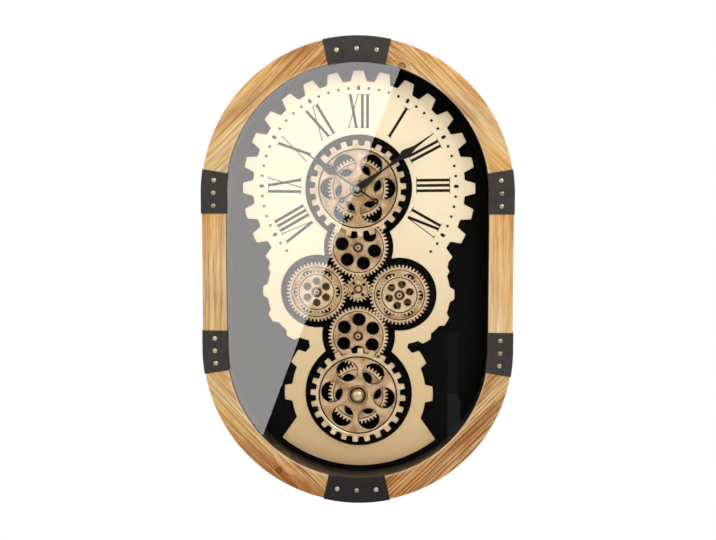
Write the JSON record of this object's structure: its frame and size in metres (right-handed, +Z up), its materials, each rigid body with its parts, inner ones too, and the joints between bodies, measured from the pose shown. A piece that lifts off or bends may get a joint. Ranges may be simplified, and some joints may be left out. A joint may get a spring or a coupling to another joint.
{
  "type": "gear wall clock",
  "caption": "Stadium-shaped wall clock: pine rail with black bands round a glazed chamber, gear-edged gold dial, a turning bronze gear train and two spade hands.",
  "frame": {"origin": "the top of the hanger's keyhole slot, in the plane of the wall", "axes": "+Z up, +Y into the wall, +X to the right seen from the front"},
  "size_m": [0.4, 0.0764, 0.6001],
  "materials": {
    "pine": "light pine with dark grain, satin",
    "band_black": "black paint, satin",
    "glass": "clear",
    "liner": "black, matte",
    "panel_black": "fibreboard painted black, matte",
    "dial_gold": "pale gold paint, satin",
    "gear_bronze": "bronze paint, satin",
    "hand_black": "black paint, satin",
    "steel": "bright",
    "brass": "bright",
    "plastic_black": "moulded, fine texture",
    "plastic_white": "moulded",
    "cell_jacket": "plain printed sleeve"
  },
  "bodies": {
    "case": {"board_arc_top_left": "pine", "board_arc_top_right": "pine", "board_arc_bottom_left": "pine", "board_arc_bottom_right": "pine", "board_side_left": "pine", "board_side_right": "pine", "band_top": "band_black", "band_bottom": "band_black", "band_upper_left": "band_black", "band_upper_right": "band_black", "band_lower_left": "band_black", "band_lower_right": "band_black", "glass_pane": "glass", "rim_liner": "liner", "back_panel": "panel_black", "hanger_plate": "steel", "hanger_screw_1": "steel", "hanger_screw_2": "steel", "dial_plate": "dial_gold", "upper_stud": "steel", "lower_stud": "steel", "left_stud": "steel", "right_stud": "steel", "centre_stud": "steel", "top_retainer": "brass", "movement_case": "plastic_black", "movement_cover": "plastic_black", "clock_cell": "cell_jacket", "fixing_nut": "brass", "drive_case": "plastic_black", "drive_cover": "plastic_black", "drive_cell_1": "cell_jacket", "drive_cell_2": "cell_jacket", "drive_motor": "steel"},
    "bottom_axle": {"bottom_gear": "gear_bronze", "bottom_wheel": "gear_bronze", "cap_nut": "gear_bronze", "drive_shaft": "steel", "drive_wheel": "plastic_white"},
    "lower_idler": {"lower_gear": "gear_bronze"},
    "right_pair": {"right_gear": "gear_bronze", "right_disc": "gear_bronze"},
    "pinion": {"centre_pinion": "gear_bronze"},
    "left_pair": {"left_gear": "gear_bronze", "left_disc": "gear_bronze"},
    "upper_idler": {"upper_gear": "gear_bronze"},
    "top_pair": {"top_gear": "gear_bronze", "top_wheel": "gear_bronze"},
    "motor_rotor": {"motor_pinion": "brass"},
    "minute_axle": {"minute_arbor": "brass", "minute_hand": "hand_black", "hand_nut": "steel"},
    "hour_axle": {"hour_tube": "brass", "hour_hand": "hand_black"},
    "setting": {"minute_wheel": "plastic_white", "set_knob": "plastic_black"},
    "switch": {"switch_slider": "plastic_white"}
  },
  "joints": [
    {"name": "bottom_spin", "type": "hinge", "parent": "case", "child": "bottom_axle", "pos_m": [0, -0.0395, -0.45185], "axis": [0, 1, 0], "continuous": true},
    {"name": "lower_spin", "type": "hinge", "parent": "case", "child": "lower_idler", "pos_m": [0, -0.0395, -0.37505], "axis": [0, 1, 0], "continuous": true},
    {"name": "right_spin", "type": "hinge", "parent": "case", "child": "right_pair", "pos_m": [0.0539, -0.0395, -0.32034], "axis": [0, 1, 0], "continuous": true},
    {"name": "pinion_spin", "type": "hinge", "parent": "case", "child": "pinion", "pos_m": [0, -0.0395, -0.31295], "axis": [0, 1, 0], "continuous": true},
    {"name": "left_spin", "type": "hinge", "parent": "case", "child": "left_pair", "pos_m": [-0.05425, -0.0395, -0.31694], "axis": [0, 1, 0], "continuous": true},
    {"name": "upper_spin", "type": "hinge", "parent": "case", "child": "upper_idler", "pos_m": [0, -0.0395, -0.25855], "axis": [0, 1, 0], "continuous": true},
    {"name": "top_spin", "type": "hinge", "parent": "case", "child": "top_pair", "pos_m": [0, -0.0395, -0.18175], "axis": [0, 1, 0], "continuous": true},
    {"name": "motor_spin", "type": "hinge", "parent": "case", "child": "motor_rotor", "pos_m": [0.016, -0.02, -0.45185], "axis": [0, 1, 0], "continuous": true},
    {"name": "minute_spin", "type": "hinge", "parent": "case", "child": "minute_axle", "pos_m": [0, -0.0595, -0.18175], "axis": [0, 1, 0], "continuous": true},
    {"name": "hour_spin", "type": "hinge", "parent": "case", "child": "hour_axle", "pos_m": [0, -0.0555, -0.18175], "axis": [0, 1, 0], "continuous": true},
    {"name": "setting_spin", "type": "hinge", "parent": "case", "child": "setting", "pos_m": [0, -0.005, -0.16975], "axis": [0, 1, 0], "continuous": true},
    {"name": "switch_slide", "type": "slide", "parent": "case", "child": "switch", "axis": [1, 0, 0], "range_m": [0, 0.004]}
  ],
  "couplings": [
    {"joint": "lower_spin", "follows": "bottom_spin", "ratio": -1},
    {"joint": "right_spin", "follows": "bottom_spin", "ratio": 1},
    {"joint": "pinion_spin", "follows": "bottom_spin", "ratio": -2.4},
    {"joint": "left_spin", "follows": "bottom_spin", "ratio": 1},
    {"joint": "upper_spin", "follows": "bottom_spin", "ratio": 1},
    {"joint": "top_spin", "follows": "bottom_spin", "ratio": -1},
    {"joint": "motor_spin", "follows": "bottom_spin", "ratio": -3},
    {"joint": "hour_spin", "follows": "minute_spin", "ratio": 0.083333},
    {"joint": "setting_spin", "follows": "minute_spin", "ratio": -0.33333}
  ]
}
